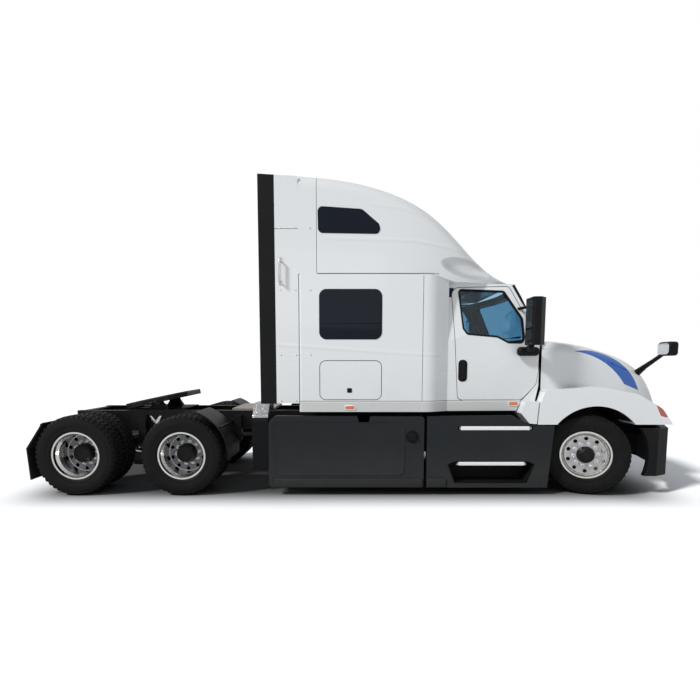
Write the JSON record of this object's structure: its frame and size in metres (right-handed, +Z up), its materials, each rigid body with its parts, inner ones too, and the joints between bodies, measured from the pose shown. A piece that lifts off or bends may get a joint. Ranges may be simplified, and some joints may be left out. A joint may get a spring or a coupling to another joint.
{
  "type": "three-axle sleeper tractor unit for semitrailers",
  "caption": "Conventional three-axle highway tractor with high-roof sleeper, steered front wheels, twin drive wheels and a tilting fifth wheel.",
  "frame": {"origin": "bottom centre of the bounding box, on the ground", "axes": "+X towards the front of the truck, +Y to its left, +Z up"},
  "size_m": [8.264, 2.98, 3.8979],
  "materials": {
    "white_paint": "gloss white paint",
    "grey_plastic": "moulded charcoal plastic",
    "black_plastic": "black plastic",
    "chassis_black": "black chassis paint",
    "greased_steel": "dark greased steel",
    "polished_aluminium": "polished",
    "tyre_rubber": "black rubber",
    "tread_aluminium": "brushed tread plate",
    "engine_casting": "painted casting",
    "radiator_core": "dull finned core",
    "dark_glass": "dark tinted glass",
    "clear_glass": "lightly tinted glass",
    "trim_grey": "grey trim",
    "dash_plastic": "dark moulded plastic",
    "lamp_lens": "clear lamp lens"
  },
  "bodies": {
    "root": {"bumper": "grey_plastic", "cab_corners": "white_paint", "cab_floor": "trim_grey", "cab_interior": "trim_grey", "cab_shell": "white_paint", "crossmembers": "chassis_black", "dashboard": "dash_plastic", "deck_plate": "tread_aluminium", "drive_axles": "chassis_black", "drive_suspension": "chassis_black", "driveline": "chassis_black", "engine": "engine_casting", "extender_edges": "black_plastic", "fifth_wheel_base": "chassis_black", "frame_rails": "chassis_black", "front_axle": "chassis_black", "fuel_tanks": "polished_aluminium", "mud_flaps": "black_plastic", "power_unit_box": "chassis_black", "radiator": "radiator_core", "roof_fairing": "white_paint", "side_extenders": "white_paint", "skirts_front": "grey_plastic", "skirts_rear": "grey_plastic", "sleeper_back": "white_paint", "sleeper_sides": "white_paint", "sleeper_windows": "dark_glass", "steps": "tread_aluminium", "windscreen": "clear_glass"},
    "hood": {"hood": "white_paint", "grille": "black_plastic", "headlamps": "lamp_lens", "hood_mirrors": "black_plastic", "fender_liners": "black_plastic"},
    "door_left": {"door_left": "white_paint", "door_glass_left": "clear_glass", "mirror_left": "black_plastic"},
    "luggage_door_left": {"luggage_door_left": "white_paint"},
    "steer_left": {"knuckle_left": "chassis_black"},
    "wheel_front_left": {"tyre_front_left": "tyre_rubber", "wheel_front_left": "polished_aluminium"},
    "wheels_middle_left": {"tyres_middle_left": "tyre_rubber", "wheels_middle_left": "polished_aluminium"},
    "wheels_rear_left": {"tyres_rear_left": "tyre_rubber", "wheels_rear_left": "polished_aluminium"},
    "door_right": {"door_right": "white_paint", "door_glass_right": "clear_glass", "mirror_right": "black_plastic"},
    "luggage_door_right": {"luggage_door_right": "white_paint"},
    "steer_right": {"knuckle_right": "chassis_black"},
    "wheel_front_right": {"tyre_front_right": "tyre_rubber", "wheel_front_right": "polished_aluminium"},
    "wheels_middle_right": {"tyres_middle_right": "tyre_rubber", "wheels_middle_right": "polished_aluminium"},
    "wheels_rear_right": {"tyres_rear_right": "tyre_rubber", "wheels_rear_right": "polished_aluminium"},
    "tie_rod": {"tie_rod": "chassis_black"},
    "fifth_wheel": {"fifth_wheel_plate": "greased_steel"},
    "steering_wheel": {"steering_wheel": "dash_plastic"}
  },
  "joints": [
    {"name": "hood_tilt", "type": "hinge", "parent": "root", "child": "hood", "pos_m": [4.05, 0, 0.89], "axis": [0, 1, 0], "range_deg": [0, 60]},
    {"name": "door_right_swing", "type": "hinge", "parent": "root", "child": "door_right", "pos_m": [2.25, -1.036, 1.5], "axis": [0, 0, 1], "range_deg": [0, 70]},
    {"name": "door_left_swing", "type": "hinge", "parent": "root", "child": "door_left", "pos_m": [2.25, 1.036, 1.5], "axis": [0, 0, -1], "range_deg": [0, 70]},
    {"name": "luggage_right_lift", "type": "hinge", "parent": "root", "child": "luggage_door_right", "pos_m": [-0.109, -1.215, 1.683], "axis": [-1, 0, 0], "range_deg": [0, 95]},
    {"name": "luggage_left_lift", "type": "hinge", "parent": "root", "child": "luggage_door_left", "pos_m": [-0.109, 1.215, 1.683], "axis": [1, 0, 0], "range_deg": [0, 95]},
    {"name": "steer_left_turn", "type": "hinge", "parent": "root", "child": "steer_left", "pos_m": [2.944, 0.88, 0.507], "axis": [0, 0, 1], "range_deg": [-20, 60]},
    {"name": "steer_right_turn", "type": "hinge", "parent": "root", "child": "steer_right", "pos_m": [2.944, -0.88, 0.507], "axis": [0, 0, 1], "range_deg": [-20, 60]},
    {"name": "tie_rod_swing", "type": "hinge", "parent": "steer_left", "child": "tie_rod", "pos_m": [2.75606, 0.9484, 0.372], "axis": [0, 0, 1], "range_deg": [-60, 20]},
    {"name": "wheel_front_left_spin", "type": "hinge", "parent": "steer_left", "child": "wheel_front_left", "pos_m": [2.99906, 1.03129, 0.507], "axis": [0.342, 0.9397, 0], "continuous": true},
    {"name": "wheel_front_right_spin", "type": "hinge", "parent": "steer_right", "child": "wheel_front_right", "pos_m": [2.88894, -1.03129, 0.507], "axis": [0.342, 0.9397, 0], "continuous": true},
    {"name": "wheels_middle_left_spin", "type": "hinge", "parent": "root", "child": "wheels_middle_left", "pos_m": [-2.2155, 0.9145, 0.507], "axis": [0, 1, 0], "continuous": true},
    {"name": "wheels_middle_right_spin", "type": "hinge", "parent": "root", "child": "wheels_middle_right", "pos_m": [-2.2155, -0.9145, 0.507], "axis": [0, 1, 0], "continuous": true},
    {"name": "wheels_rear_left_spin", "type": "hinge", "parent": "root", "child": "wheels_rear_left", "pos_m": [-3.5365, 0.9145, 0.507], "axis": [0, 1, 0], "continuous": true},
    {"name": "wheels_rear_right_spin", "type": "hinge", "parent": "root", "child": "wheels_rear_right", "pos_m": [-3.5365, -0.9145, 0.507], "axis": [0, 1, 0], "continuous": true},
    {"name": "fifth_wheel_tilt", "type": "hinge", "parent": "root", "child": "fifth_wheel", "pos_m": [-2.83, 0, 1.12], "axis": [0, 1, 0], "range_deg": [0, 24]},
    {"name": "steering_wheel_turn", "type": "hinge", "parent": "root", "child": "steering_wheel", "pos_m": [1.792, 0.52, 1.736], "axis": [-0.8042, 0, 0.5944], "range_deg": [-360, 1080]}
  ],
  "couplings": [
    {"joint": "steer_right_turn", "follows": "steer_left_turn", "ratio": 1},
    {"joint": "tie_rod_swing", "follows": "steer_left_turn", "ratio": -1},
    {"joint": "steering_wheel_turn", "follows": "steer_left_turn", "ratio": 18}
  ]
}
